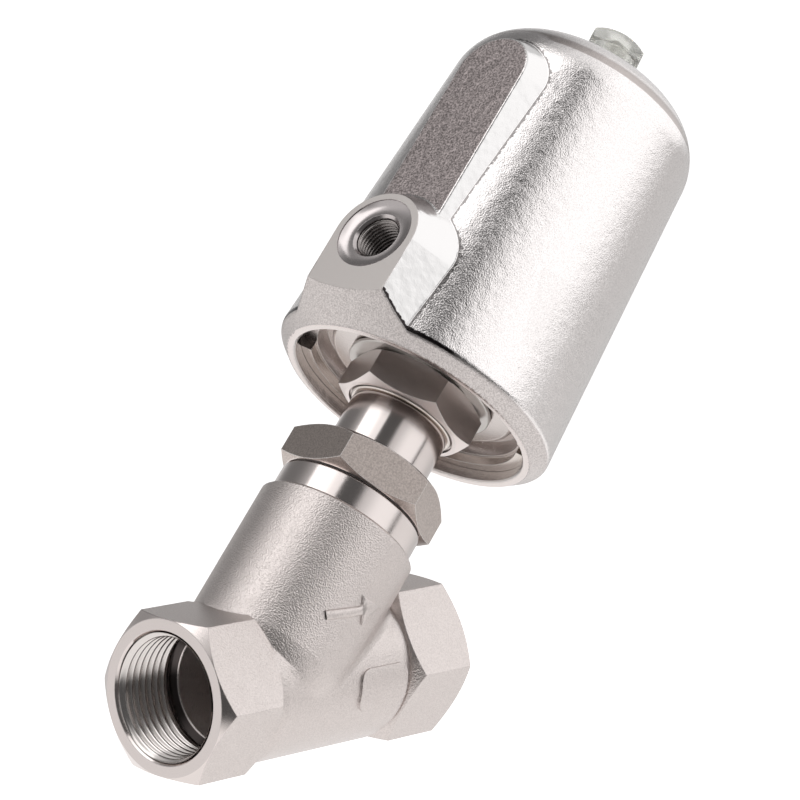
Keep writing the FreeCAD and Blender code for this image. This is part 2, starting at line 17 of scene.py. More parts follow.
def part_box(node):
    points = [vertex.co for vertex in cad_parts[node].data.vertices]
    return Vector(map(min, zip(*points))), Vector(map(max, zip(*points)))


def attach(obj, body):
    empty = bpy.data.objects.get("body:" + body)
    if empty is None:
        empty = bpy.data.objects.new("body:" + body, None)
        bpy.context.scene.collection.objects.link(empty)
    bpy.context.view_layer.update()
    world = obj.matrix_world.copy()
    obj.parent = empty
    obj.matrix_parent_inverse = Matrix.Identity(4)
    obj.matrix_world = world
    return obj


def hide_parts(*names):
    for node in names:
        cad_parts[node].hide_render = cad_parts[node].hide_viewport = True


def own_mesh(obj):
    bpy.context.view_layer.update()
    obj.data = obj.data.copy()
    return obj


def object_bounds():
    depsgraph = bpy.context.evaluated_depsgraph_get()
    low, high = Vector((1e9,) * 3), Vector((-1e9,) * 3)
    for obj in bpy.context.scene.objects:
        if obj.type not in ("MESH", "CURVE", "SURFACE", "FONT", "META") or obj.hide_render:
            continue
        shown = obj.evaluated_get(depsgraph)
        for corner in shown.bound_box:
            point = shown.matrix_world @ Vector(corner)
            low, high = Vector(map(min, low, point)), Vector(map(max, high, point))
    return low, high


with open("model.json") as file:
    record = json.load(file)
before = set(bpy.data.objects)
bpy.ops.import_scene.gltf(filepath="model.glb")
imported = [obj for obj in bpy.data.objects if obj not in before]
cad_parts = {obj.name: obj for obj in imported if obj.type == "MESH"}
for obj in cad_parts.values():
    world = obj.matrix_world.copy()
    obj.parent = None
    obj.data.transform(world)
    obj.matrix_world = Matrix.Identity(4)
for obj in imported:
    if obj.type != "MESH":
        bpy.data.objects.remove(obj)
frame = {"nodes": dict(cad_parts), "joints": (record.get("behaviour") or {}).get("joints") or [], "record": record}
nodes = frame["nodes"]
record = frame["record"]
cad_low, cad_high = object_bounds()
print("CAD nodes:", len(nodes), "size in mm:", [round(v * 1000, 1) for v in cad_high - cad_low])

# %% [markdown]
# The actuator leans over the pipe. The joint that lets it swivel already knows where its axis
# stands, so the script reads the axis from there instead of typing it again. `on_axis` then
# turns a place beside that axis, in millimetres, into a place in the scene.

# %% The leaning axis
mm = 0.001
swivel = next(joint for joint in frame["joints"] if joint["name"] == "actuator_swivel")
foot = Vector(swivel["pos_m"])
lean = Vector(swivel["axis"]).normalized()
across = Vector((lean.z, 0, -lean.x))


def on_axis(radius, azimuth, height):
    """Place at a radius and azimuth about the leaning axis, at a height along it."""
    turn = math.radians(azimuth)
    out = across * math.cos(turn) + Vector((0, math.sin(turn), 0))
    return foot + (out * radius + lean * height) * mm


print("axis leans", round(math.degrees(math.asin(lean.z)), 1), "degrees above the pipe")

# %% [markdown]
# A material in Blender is a sheet of nodes. Wiring them one by one hides the sums behind
# them, so two small classes do the wiring. `Sheet.add` makes any node: its settings come
# first, then the values or links of its sockets. `Socket` wraps what comes out and lets
# Python's own signs add the Math nodes.

# %% Sums on sockets
class Socket:
    """The output of a node, ready for sums."""

    def __init__(self, sheet, source):
        self.sheet = sheet
        self.source = source

    def __add__(self, other):
        return self.sheet.sum("ADD", self, other)

    def __radd__(self, other):
        return self.sheet.sum("ADD", other, self)

    def __sub__(self, other):
        return self.sheet.sum("SUBTRACT", self, other)

    def __rsub__(self, other):
        return self.sheet.sum("SUBTRACT", other, self)

    def __mul__(self, other):
        return self.sheet.sum("MULTIPLY", self, other)

    def __rmul__(self, other):
        return self.sheet.sum("MULTIPLY", other, self)


def is_vector(value):
    """True for three numbers, or for a socket that carries a vector or a colour."""
    if isinstance(value, Socket):
        return value.source.type in ("VECTOR", "RGBA")
    return hasattr(value, "__len__")


class Sheet:
    """One node tree, with one way to add a node."""

    def __init__(self, tree):
        self.tree = tree
        tree.nodes.clear()

    def add(self, kind, settings=None, inputs=None, output=0):
        """A new node with its settings and sockets filled in, as its output or as None."""
        node = self.tree.nodes.new(kind)
        for name, value in (settings or {}).items():
            setattr(node, name, value)
        for name, value in (inputs or {}).items():
            self.plug(node.inputs[name], value)
        if not node.outputs:
            return None
        return Socket(self, node.outputs[output])

    def plug(self, socket, value):
        if isinstance(value, Socket):
            self.tree.links.new(value.source, socket)
        elif socket.type == "RGBA" and len(value) == 3:
            socket.default_value = (*value, 1)
        else:
            socket.default_value = value

    def sum(self, operation, first, second):
        kind = "ShaderNodeMath"
        if is_vector(first) or is_vector(second):
            kind = "ShaderNodeVectorMath"
            first = widen(first)
            second = widen(second)
        return self.add(kind, {"operation": operation}, {0: first, 1: second})


def widen(value):
    """Three equal numbers from one, for vector sums."""
    if isinstance(value, (int, float)):
        return (value, value, value)
    return value


# %% [markdown]
# Some sums come back in every finish. `rise` goes smoothly from 0 to 1 between two values,
# `between` is 1 inside a range, `mix` blends two colours and `dot` measures how far a vector
# points along a direction. They are plain functions, so a finish reads like a recipe.

# %% Small recipes
def rise(value, start, stop):
    """0 below start, 1 above stop, and smooth between them."""
    settings = {"interpolation_type": "SMOOTHSTEP"}
    inputs = {"Value": value, "From Min": start, "From Max": stop}
    return value.sheet.add("ShaderNodeMapRange", settings, inputs)


def between(value, low, high, soft=0.05):
    """1 inside a range and 0 outside it."""
    return rise(value, low - soft, low + soft) * (1 - rise(value, high - soft, high + soft))


def both(first, second):
    """The larger of two masks."""
    return first.sheet.add("ShaderNodeMath", {"operation": "MAXIMUM"}, {0: first, 1: second})


def mix(mask, first, second):
    """The first colour where the mask is 0 and the second where it is 1."""
    inputs = {0: mask, 6: first, 7: second}
    return mask.sheet.add("ShaderNodeMix", {"data_type": "RGBA"}, inputs, output=2)


def fade(mask, first, second):
    """The same for plain numbers."""
    return first + mask * (second - first)


def dot(vector, direction):
    """Length of a vector along a direction."""
    settings = {"operation": "DOT_PRODUCT"}
    inputs = {0: vector, 1: tuple(direction)}
    return vector.sheet.add("ShaderNodeVectorMath", settings, inputs, output="Value")


def length(x, y):
    """Distance from zero of two sockets taken together."""
    square = x * x + y * y
    return x.sheet.add("ShaderNodeMath", {"operation": "SQRT"}, {0: square})


def noise(place, scale, detail=2.0, roughness=0.5):
    """Cloudy grain between 0 and 1. The scale is in grains per millimetre."""
    inputs = {"Vector": place, "Scale": scale, "Detail": detail, "Roughness": roughness}
    return place.sheet.add("ShaderNodeTexNoise", {}, inputs)


def combine(x, y, z):
    """One vector from three numbers or sockets."""
    sheet = next(v for v in (x, y, z) if isinstance(v, Socket)).sheet
    return sheet.add("ShaderNodeCombineXYZ", {}, {0: x, 1: y, 2: z})


# %% [markdown]
# Every finish needs to know where it is on the object. The object coordinates of a CAD node
# are its real place, so they can be turned into millimetres, and into a height and a radius
# about the leaning axis. A finish that is painted by these never slides when a piece moves.

# %% Where a point lies
class Place:
    """The shaded point, in millimetres."""

    def __init__(self, sheet):
        self.point = sheet.add("ShaderNodeTexCoord", {}, {}, output="Object") * (1 / mm)
        split = self.point - tuple(foot / mm)
        self.x = dot(self.point, (1, 0, 0))
        self.from_pipe = length(dot(self.point, (0, 1, 0)), dot(self.point, (0, 0, 1)))
        self.side = dot(split, across)
        self.y = dot(split, (0, 1, 0))
        self.height = dot(split, lean)
        self.radius = length(self.side, self.y)
        normal = sheet.add("ShaderNodeTexCoord", {}, {}, output="Normal")
        self.facing_up = dot(normal, lean)
        self.facing_side = dot(normal, across)
        self.facing_pipe = dot(normal, (1, 0, 0))


# %% [markdown]
# All steel here is the same Principled shader with other numbers, so `finish` closes every
# sheet with it. What makes a real machined edge catch the light is that it is rounded by a
# hair: `soft_edge` does that to the normal with the Bevel node, and `sharp_edges` finds where
# the rounded normal leaves the true one, so that edges can be painted brighter, for wear and
# as a painted highlight.

# %% A steel shader
finishes = {}
edge_turn_start = 0.004
edge_turn_stop = 0.06


def new_sheet(name):
    """A new material and its empty node sheet."""
    material = bpy.data.materials.new(name)
    material.use_nodes = True
    finishes[name] = material
    return Sheet(material.node_tree)


def bump(normal, height, strength, depth):
    """Bend a normal by a height map. The depth is in millimetres."""
    inputs = {"Strength": strength, "Distance": depth * mm, "Height": height, "Normal": normal}
    return height.sheet.add("ShaderNodeBump", {}, inputs)


def soft_edge(sheet, radius):
    """Normal that rounds sharp edges by a radius in millimetres."""
    return sheet.add("ShaderNodeBevel", {"samples": 4}, {"Radius": radius * mm})


def sharp_edges(sheet, radius):
    """1 on sharp edges and 0 on plain faces: there the rounded normal leaves the true one."""
    rounded = soft_edge(sheet, radius)
    true = sheet.add("ShaderNodeNewGeometry", {}, {}, output="Normal")
    agree = sheet.add("ShaderNodeVectorMath", {"operation": "DOT_PRODUCT"}, {0: rounded, 1: true},
                      output="Value")
    return rise(1 - agree, edge_turn_start, edge_turn_stop)


def mix_normals(mask, first, second):
    """The first normal where the mask is 0 and the second where it is 1."""
    inputs = {0: mask, 4: first, 5: second}
    return mask.sheet.add("ShaderNodeMix", {"data_type": "VECTOR"}, inputs, output=1)


def finish(sheet, colour, roughness, normal, metallic=1.0, **more):
    """Close a sheet with the Principled shader."""
    inputs = {"Base Color": colour, "Roughness": roughness, "Metallic": metallic}
    if normal is not None:
        inputs["Normal"] = normal
    for name, value in more.items():
        inputs[name.replace("_", " ")] = value
    surface = sheet.add("ShaderNodeBsdfPrincipled", {}, inputs)
    sheet.add("ShaderNodeOutputMaterial", {}, {"Surface": surface})


# %% [markdown]
# ## The valve body
#
# The body is an investment casting, blasted with fine beads until it is evenly matt. After
# casting, the ports, their ring faces and the band at the mouth of the branch were turned on
# a lathe and are bright. Two materials would need a cut in the mesh, so one finish does both:
# masks on place choose between blasted and turned. Their sizes are those of the machining.

# %% Where the body was machined
port_radius = 13.8
waterway_radius = 11.75
port_depth = 16.05
cone_depth = 6.0
shoulder_width = 1.15
mouth_low = 37.75
mouth_high = 46.0
mouth_radius = 16.3


def box_size(node):
    """Length, width and height of a CAD node, in millimetres."""
    low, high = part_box(node)
    return (high - low) / mm


face_to_face = box_size("valve_body").x


def near_ends(place, depth, soft):
    """1 within a depth of either end of the body."""
    inlet = 1 - rise(place.x, depth - soft, depth + soft)
    outlet = rise(place.x, face_to_face - depth - soft, face_to_face - depth + soft)
    return both(inlet, outlet)


def port_shoulder(place, port_bore):
    """The step behind each thread, down to the waterway."""
    start = port_depth - shoulder_width
    stop = port_depth + 0.05
    step = both(between(place.x, start, stop),
                between(place.x, face_to_face - stop, face_to_face - start))
    return step * port_bore * rise(place.from_pipe, waterway_radius - 0.03, waterway_radius + 0.03)


print("body is", round(face_to_face, 1), "mm from face to face")

# %% [markdown]
# Blasted steel scatters light in all directions: that is a bump of fine grain. Turned steel
# has fine rings, which are grain along one direction only. The step behind each thread lies
# in shadow, so painted shade makes it dark. The passage behind it is painted paler, as painted
# light, and is less of a mirror than the outside, so that it doesn't go black where little light gets in.

# %% Body finish
steel_colour = (0.66, 0.60, 0.58)
blasted_colour = (0.62, 0.565, 0.545)
inside_colour = (0.72, 0.66, 0.64)
shadow_colour = (0.065, 0.055, 0.053)
ring_colour = (0.56, 0.51, 0.495)
blasted_roughness = 0.35
turned_roughness = 0.14


def shaded(colour, share):
    """A colour made darker or lighter by a share, up to white."""
    return tuple(min(1, share * channel) for channel in colour)


def turned_lines(along, scale=9.0):
    """Fine lathe lines: grain that changes along one direction only."""
    return noise(combine(along, 0.0, 0.0), scale, detail=3.0)


def make_cast_steel():
    """Blasted casting with turned ports, ring faces and mouth."""
    sheet = new_sheet("cast_steel")
    place = Place(sheet)
    mouth_band = between(place.height, mouth_low, mouth_high)
    mouth_band = mouth_band * (1 - rise(place.radius, mouth_radius - 0.1, mouth_radius + 0.1))
    ring_face = near_ends(place, 0.045, 0.015)
    port_bore = 1 - rise(place.from_pipe, port_radius - 0.1, port_radius + 0.1)
    near_mouth = near_ends(place, port_depth, 0.15)
    port_cone = between(place.facing_pipe * place.facing_pipe, 0.2, 0.9)
    port_cone = port_cone * near_ends(place, cone_depth, 0.1)
    turned = both(both(mouth_band, ring_face), both(port_bore * near_mouth, port_cone))
    inside = port_bore * (1 - near_mouth)
    grain = noise(place.point, 3.0, detail=1.0, roughness=0.6)
    wave = noise(place.point, 0.35, detail=1.0)
    lines = turned_lines(place.height + place.from_pipe * 0.7)
    colour = mix(rise(grain, 0.3, 0.7), shaded(blasted_colour, 0.93), shaded(blasted_colour, 1.07))
    colour = mix(turned, colour, steel_colour)
    # painted light: the passage behind the threads is painted paler, so that it doesn't go black
    colour = mix(inside, colour, inside_colour)
    colour = mix(ring_face, colour, ring_colour)
    # painted shade: the step behind each thread is painted dark
    colour = mix(port_shoulder(place, port_bore), colour, shadow_colour)
    roughness = fade(turned, blasted_roughness + (wave - 0.5) * 0.08,
                     turned_roughness + (lines - 0.5) * 0.08)
    normal = soft_edge(sheet, 0.30)
    normal = bump(normal, grain * (1 - turned), 1.0, 0.13)
    normal = bump(normal, lines * turned, 0.5, 0.012)
    finish(sheet, colour, roughness, normal, metallic=1 - inside * 0.3)


make_cast_steel()
print("finishes so far:", sorted(finishes))

# %% [markdown]
# ## The actuator housing
#
# The housing is one casting: a round pot, a boss with the air port, and a rib over the air
# passage. Boss and rib are tongues: they stand on the wall with sloping sides, and a cone
# cuts their lower ends and the wall's. The finish changes from part to part, so the script
# first says where each part lies, by its height and radius about the leaning axis. The
# height of the air port is read from its mount.

# %% Where the housing's parts lie
air_port = next(m for m in record["mounts"] if m["name"] == "pilot_port")
air_port_height = (Vector(air_port["pos_m"]) - foot).dot(lean) / mm
recess_radius = 8.64
thread_radius = 4.9
boss_face_at = -35.3
rib_face_at = -31.0
wall_radius = 31.8
rim_height = 68.9
cone_foot_height = 69.2
cone_foot_radius = 29.1
cone_slope = 0.867
cone_start_radius = 28.6
cone_top = 72.0
pot_radius = 27.3
pot_roof = 150.5
rib_flat_start = 99.1


class Housing:
    """The housing's parts, each as a mask that is 1 on that part."""

    def __init__(self, place):
        self.from_port = length(place.y, place.height - air_port_height)
        rib_flat = 1 - rise(place.side, rib_face_at + 0.05, rib_face_at + 0.15)
        rib_flat = rib_flat * rise(place.height, rib_flat_start - 0.3, rib_flat_start + 0.3)
        rib_flat = rib_flat * rise(place.side, rib_face_at - 0.6, rib_face_at - 0.4)
        self.rib_flat = rib_flat * (1 - rise(place.facing_side, -0.99, -0.96))
        recess = 1 - rise(self.from_port, recess_radius - 0.02, recess_radius + 0.02)
        self.recess = recess * (1 - rise(place.side, -30.0, -29.0))
        boss_face = 1 - rise(place.side, boss_face_at + 0.05, boss_face_at + 0.15)
        self.boss_face = boss_face * (1 - self.recess)
        self.rim_face = 1 - rise(place.height, rim_height, rim_height + 0.05)
        self.turned = both(both(self.boss_face, self.rim_face), self.recess)
        inside = 1 - rise(place.radius, pot_radius - 0.1, pot_radius + 0.1)
        inside = inside * (1 - rise(place.height, pot_roof - 0.5, pot_roof + 0.5))
        self.inside = inside * rise(place.side, -26.8, -26.0)
        self.near_side = 1 - rise(place.side, -22.0, -20.0)
        cone_height = (place.radius - cone_foot_radius) * cone_slope
        self.past_cone = place.height - cone_foot_height - cone_height
        self.above_cone = rise(self.past_cone, 0.02, 0.10)
        self.flank = self.near_side * self.above_cone
        cone = 1 - rise(place.facing_up, -0.45, -0.25)
        cone = cone * (1 - rise(place.height, cone_top - 0.1, cone_top + 0.1))
        boss_foot = rise(place.radius, wall_radius - 0.1, wall_radius + 0.1)
        boss_foot = boss_foot * (1 - self.above_cone) * self.near_side * (1 - self.boss_face)
        cone = cone * rise(place.radius, cone_start_radius - 0.1, cone_start_radius + 0.1)
        self.dull = both(cone, boss_foot)


print("air port is", round(air_port_height, 1), "mm up the leaning axis")

# %% [markdown]
# Painted shade darkens the creases along the feet of the boss and the rib, and where both
# stand on the cone, thinner there away from the boss. The distance from a tongue's sloping
# side says where its foot runs, and a little noise makes the line wander. A drawn line would
# be too even.

# %% Sides of the tongues and painted shade at their feet
boss_half_width = 10.1
boss_draft = 0.66
rib_half_width = 8.5
rib_draft = 0.60
rib_offset = 0.5
rib_top = 135.8
crease_shade_width = 0.20
cone_shade_width = 0.68
cone_shade_top = 80.0
shade_wander = 1.1


def beyond_tongue(place, offset, half_width, top, face, draft):
    """How far a point lies outside a tongue's sloping side, in millimetres."""
    above = both(place.height - top, 0.0)
    return length(place.y + offset, above) - half_width - (place.side - face) * draft


def crease_shade_line(distance, width):
    """1 just outside a tongue's side, over a width in millimetres."""
    return rise(distance, 0.08, 0.14) * (1 - rise(distance - width, 0.14, 0.24))


def tongue_masks(place, on):
    """The tongues' sides, the painted shade at their feet, and the painted shade on top of the cone."""
    past_rib = beyond_tongue(place, rib_offset, rib_half_width, rib_top, rib_face_at, rib_draft)
    past_boss = beyond_tongue(place, 0.0, boss_half_width, air_port_height, boss_face_at,
                              boss_draft)
    rib_side = between(past_rib, -0.10, 0.10, 0.03) * on.flank * rise(past_boss, 0.0, 0.1)
    boss_side = between(past_boss, -0.10, 0.10, 0.03) * on.flank
    wander = noise(place.point, 1.3, detail=2.0)
    width = crease_shade_width + (wander - 0.45) * shade_wander
    rib_line = crease_shade_line(past_rib, width) * rise(past_boss, 0.1, 0.3)
    boss_line = crease_shade_line(past_boss, width) * rise(past_rib, 0.1, 0.3)
    foot_shade = both(rib_line, boss_line) * on.flank
    foot_shade = foot_shade * (1 - rise(place.radius, wall_radius + 0.2, wall_radius + 0.4))
    thinning = 1 - rise(length(place.y, 0.0), 17.0, 30.0) * 0.8
    cone_width = (cone_shade_width + (wander - 0.5) * shade_wander) * thinning
    cone_shade = rise(on.past_cone, 0.03, 0.10) * (1 - rise(on.past_cone - cone_width, 0.0, 0.12))
    cone_shade = cone_shade * on.near_side
    cone_shade = cone_shade * (1 - rise(place.height, cone_shade_top - 0.2, cone_shade_top + 0.2))
    return both(rib_side, boss_side), foot_shade, cone_shade * (1 - on.boss_face)


# %% [markdown]
# The casting was electropolished: it is bright like chrome, with the skin of an orange and a
# fine sparkle, which are a slow bump and a fine one. The flat of the rib and the cone were
# left as cast, so they are darker and duller, and the boss face, the recess round the port
# and the rim were machined. The edges low on the wall are rounder than the others. The
# colours go on like coats of paint, each through its mask.

# %% Housing finish
polished_colour = (0.86, 0.82, 0.81)
skin_colour = (0.20, 0.175, 0.172)
flank_colour = (0.73, 0.715, 0.71)
crease_shade_colour = (0.10, 0.09, 0.088)
cone_shade_colour = (0.035, 0.03, 0.03)
boss_face_colour = (0.62, 0.58, 0.56)
recess_colour = (0.52, 0.48, 0.475)
bore_shade_colour = (0.16, 0.14, 0.135)
pot_colour = (0.42, 0.38, 0.365)
dull_dark = (0.44, 0.405, 0.395)
dull_light = (0.66, 0.615, 0.60)
low_edge_height = 79.4
low_edge_radius = 30.5


def make_polished_cast():
    """Electropolished casting with dull and machined parts."""
    sheet = new_sheet("polished_cast")
    place = Place(sheet)
    on = Housing(place)
    sides, foot_shade, cone_shade = tongue_masks(place, on)
    grain = noise(place.point, 3.4, detail=1.0, roughness=0.6)
    speckle = noise(place.point, 2.7, detail=1.0, roughness=0.6)
    peel = noise(place.point, 0.45, detail=1.0)
    lines = turned_lines(place.radius)
    port_lines = turned_lines(on.from_port)
    coarse = rise(grain, 0.3, 0.7)
    port_bore = on.recess * (1 - rise(on.from_port, thread_radius - 0.05, thread_radius + 0.05))
    coats = [
        (on.dull, mix(coarse, dull_dark, dull_light)),
        (on.rib_flat, mix(rise(speckle, 0.32, 0.72), skin_colour, shaded(skin_colour, 3.0))),
        (sides, flank_colour),
        # painted shade in the creases at the feet of the boss and the rib, and on top of the cone
        (foot_shade * 0.75, crease_shade_colour),
        (cone_shade, cone_shade_colour),
        # the rib flat's edges are painted polished: partly wear, partly a painted highlight
        (sharp_edges(sheet, 0.30) * on.rib_flat, polished_colour),
        (on.turned, steel_colour),
        (on.boss_face, boss_face_colour),
        (on.recess, recess_colour),
        # painted shade inside the air port's bore
        (port_bore, bore_shade_colour),
        (on.inside, pot_colour),
    ]
    colour = mix(coarse, shaded(polished_colour, 0.84), polished_colour)
    for mask, coat in coats:
        colour = mix(mask, colour, coat)
    roughness = fade(both(on.dull, on.rib_flat), 0.13 + (peel - 0.5) * 0.06, 0.34)
    roughness = fade(on.boss_face, roughness, 0.46)
    roughness = fade(on.recess, roughness, 0.20 + (port_lines - 0.5) * 0.10)
    roughness = fade(on.rim_face, roughness, 0.26 + (lines - 0.5) * 0.10)
    low_edge = 1 - rise(place.height, low_edge_height - 0.1, low_edge_height + 0.1)
    low_edge = low_edge * rise(place.radius, low_edge_radius - 0.1, low_edge_radius + 0.1)
    normal = mix_normals(low_edge, soft_edge(sheet, 0.12), soft_edge(sheet, 0.60))
    normal = bump(normal, peel * (1 - on.turned), 1.0, 0.08)
    smooth = both(on.rib_flat * 0.7, sides * 0.75)
    normal = bump(normal, grain * (1 - on.turned) * (1 - smooth), 1.0, 0.06)
    normal = bump(normal, port_lines * on.recess, 0.4, 0.010)
    finish(sheet, colour, roughness, normal)


make_polished_cast()
print("finishes so far:", sorted(finishes))

# %% [markdown]
# ## The bonnet, the nut and the other turned steel
#
# The bonnet is one piece of hexagonal bar. Its neck was turned to a near mirror, and its
# flats keep the satin of the drawn bar, with a few scratches and edges painted bright, partly
# for spanner wear and partly as a painted highlight. Lathe lines run round, so their grain
# changes along the axis only.

# %% Bonnet finish
hexagon_low = 44.4
hexagon_high = 53.0
neck_radius = 13.5
satin_dark = (0.41, 0.355, 0.33)
satin_light = (0.56, 0.49, 0.455)
wear_and_glint_colour = (0.92, 0.90, 0.88)


def make_bonnet_steel():
    """Bright turned neck and satin hexagon."""
    sheet = new_sheet("bonnet_steel")
    place = Place(sheet)
    on_hexagon = between(place.height, hexagon_low, hexagon_high)
    on_hexagon = on_hexagon * rise(place.radius, neck_radius - 0.1, neck_radius + 0.1)
    lines = turned_lines(place.height)
    speckle = noise(place.point, 2.6, detail=1.0, roughness=0.7)
    drawn_place = combine(place.side * 3.0, place.y * 3.0, place.height * 0.12)
    scratches = noise(drawn_place, 1.2, detail=4.0, roughness=0.6)
    colour = mix(on_hexagon, steel_colour, mix(rise(speckle, 0.3, 0.7), satin_dark, satin_light))
    # edges painted bright and less metallic: partly spanner wear, partly a painted highlight
    wear_and_glint = sharp_edges(sheet, 0.22) * on_hexagon
    colour = mix(wear_and_glint, colour, wear_and_glint_colour)
    roughness = fade(on_hexagon, 0.13 + (lines - 0.5) * 0.08, 0.30 + (scratches - 0.5) * 0.15)
    normal = soft_edge(sheet, 0.15)
    normal = bump(normal, lines * (1 - on_hexagon), 0.45, 0.010)
    normal = bump(normal, scratches * on_hexagon, 0.20, 0.02)
    finish(sheet, colour, roughness, normal, metallic=1 - wear_and_glint * 0.7)


make_bonnet_steel()
print("satin runs from", hexagon_low, "to", hexagon_high, "mm up the axis")

# %% [markdown]
# The small parts differ by a few numbers alone: colour, roughness, how much lighter their
# underside is painted, as painted light, and how hazy they are. One function makes them all from
# a short list. Their sharp edges are painted bright: partly wear from handling and spanners,
# partly a painted highlight.

# %% Plain metals
spanner_wear_and_glint = (0.88, 0.86, 0.84)


def make_plain_metal(name, colour, roughness, underside_light=1.0, haze=0.0):
    """A metal whose underside may be painted lighter as painted light, and whose haze makes it less of a mirror.
    """
    sheet = new_sheet(name)
    place = Place(sheet)
    lines = turned_lines(place.height + place.radius * 0.6)
    speckle = noise(place.point, 3.0, detail=3.0, roughness=0.6)
    tint = mix(speckle, shaded(colour, 0.93), shaded(colour, 1.04))
    # painted light: the underside is painted lighter by a share
    painted_underside = 1 - rise(place.facing_up, -0.6, -0.4)
    tint = mix(painted_underside, tint, shaded(colour, underside_light))
    # edges painted bright and less metallic: partly wear, partly a painted highlight
    wear_and_glint = sharp_edges(sheet, 0.18)
    tint = mix(wear_and_glint * 0.8, tint, spanner_wear_and_glint)
    varied = roughness + (speckle - 0.5) * 0.08 + painted_underside * (underside_light - 1) * 0.3
    normal = soft_edge(sheet, 0.12)
    normal = bump(normal, lines, 0.20, 0.008)
    finish(sheet, tint, varied, normal, metallic=1 - haze - wear_and_glint * 0.5)


plain_metals = {
    "turned_steel": ((0.64, 0.60, 0.58), 0.18, 1.0, 0.0),
    "nut_steel": ((0.62, 0.56, 0.54), 0.30, 1.25, 0.12),
    "ring_steel": ((0.60, 0.54, 0.50), 0.22, 1.0, 0.0),
    "washer_steel": ((0.66, 0.625, 0.60), 0.36, 1.0, 0.35),
    "cover_steel": ((0.60, 0.55, 0.53), 0.26, 1.0, 0.0),
    "spring_steel": ((0.42, 0.41, 0.40), 0.30, 1.0, 0.0),
    "piston_aluminium": ((0.74, 0.74, 0.75), 0.30, 1.0, 0.0),
}
for name, (colour, roughness, underside_light, haze) in plain_metals.items():
    make_plain_metal(name, colour, roughness, underside_light, haze)
print("metals:", sorted(plain_metals))

# %% [markdown]
# Seals, packing and the moulded indicator are not metal. They are mostly out of sight, and
# they share one function as well: a colour, a roughness and a fine moulded grain.

# %% Seals and plastics
def make_moulded(name, colour, roughness, grain_depth):
    """A rubber or plastic with a fine moulded grain."""
    sheet = new_sheet(name)
    place = Place(sheet)
    grain = noise(place.point, 2.5, detail=3.0)
    tint = mix(grain, shaded(colour, 0.85), shaded(colour, 1.1))
    normal = bump(soft_edge(sheet, 0.15), grain, 0.3, grain_depth)
    finish(sheet, tint, roughness + (grain - 0.5) * 0.1, normal, metallic=0.0)


moulded = {
    "seal_black": ((0.035, 0.035, 0.035), 0.55, 0.03),
    "gasket_dark": ((0.26, 0.245, 0.24), 0.55, 0.03),
    "ptfe": ((0.84, 0.84, 0.82), 0.45, 0.02),
    "indicator_orange": ((0.80, 0.30, 0.07), 0.35, 0.02),
}
for name, (colour, roughness, depth) in moulded.items():
    make_moulded(name, colour, roughness, depth)
print("seals and plastics:", sorted(moulded))

# %% [markdown]
# The sight plug is clear plastic that has yellowed a little. Transmission with some roughness
# gives the milky look of its thick head.

# %% Clear plastic
yellowed_colour = (0.93, 0.93, 0.88)
clear_colour = (0.97, 0.97, 0.94)


def make_clear_plastic():
    """Clear plastic for the sight plug."""
    sheet = new_sheet("clear_plastic")
    place = Place(sheet)
    haze = noise(place.point, 0.8, detail=2.0)
    colour = mix(haze, yellowed_colour, clear_colour)
    normal = bump(soft_edge(sheet, 0.20), haze, 0.2, 0.05)
    finish(sheet, colour, 0.10 + haze * 0.15, normal, metallic=0.0,
           Transmission_Weight=0.75, IOR=1.49)


make_clear_plastic()
print("finishes so far:", len(finishes))

# %% [markdown]
# The record names one material slot for each node. Each node takes the finish of its slot,
# but for the bonnet, whose satin hexagon and bright neck have a finish of their own.

# %% Give every node its finish
own_finish = {"bonnet": "bonnet_steel"}
for part in record["subparts"]:
    node = nodes[part["node"]]
    name = own_finish.get(part["node"], part["material_slot"])
    node.data.materials.clear()
    node.data.materials.append(finishes[name])
print("nodes with a finish:", len(record["subparts"]), "finishes:", len(finishes))

# %% [markdown]
# ## The closing springs
#
# Two coil springs stand between the piston and the housing's roof. When air lifts the piston,
# their upper ends stay where they are, so each coil gets shorter by the stroke. A solid can't
# do that. A copy of each coil stands for it and rides on the piston at its full length.

# %% Closing springs
stroke = next(joint for joint in frame["joints"] if joint["name"] == "valve_stroke")
travel = stroke["range_m"][1] / mm


def shortening_coil(name, node):
    """Copy of a spring that rides on the piston."""
    solid = nodes[node]
    coil = bpy.data.objects.new(name, solid.data.copy())
    coil.matrix_world = solid.matrix_world.copy()
    bpy.context.scene.collection.objects.link(coil)
    heights = [(coil.matrix_world @ point.co - foot).dot(lean) / mm
               for point in coil.data.vertices]
    low = min(heights)
    coil_length = max(heights) - low
    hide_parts(node)
    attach(coil, "moving_stem")
    tuple(on_axis(0, 0, low))
    (coil_length - travel) / coil_length
    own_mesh(coil)
    print(name, "is", round(coil_length, 1), "mm long and shortens by", round(travel, 1))


for node in ("outer_spring", "inner_spring"):
    shortening_coil(node.replace("spring", "coil"), node)

# %% [markdown]
# ## Pipe threads
#
# The CAD bores stop at the thread's outer radius. A thread is one groove that climbs as it
# goes round, so the mesh is a helix: rows of points follow the profile of one turn, and each
# row stands a little further round and a little deeper than the last.

# %% A mesh from rows of points
def mesh_from_rows(name, rows):
    """Smooth sheet of quads through rows of points."""
    width = len(rows[0])
    points = [point for row in rows for point in row]
    faces = []
    for index in range(len(rows) - 1):
        for step in range(width - 1):
            corner = index * width + step
            faces.append((corner, corner + 1, corner + width + 1, corner + width))
    mesh = bpy.data.meshes.new(name)
    mesh.from_pydata(points, [], faces)
    mesh.shade_smooth()
    piece = bpy.data.objects.new(name, mesh)
    bpy.context.scene.collection.objects.link(piece)
    return piece


# %% [markdown]
# The flanks of a pipe thread meet at 55 degrees and their crest and root are rounded. The
# crest fades out at the mouth, where the bore is countersunk, and at the tool's run-out. The
# air thread is painted a darker steel, as painted shade, since little light reaches into so small a hole.

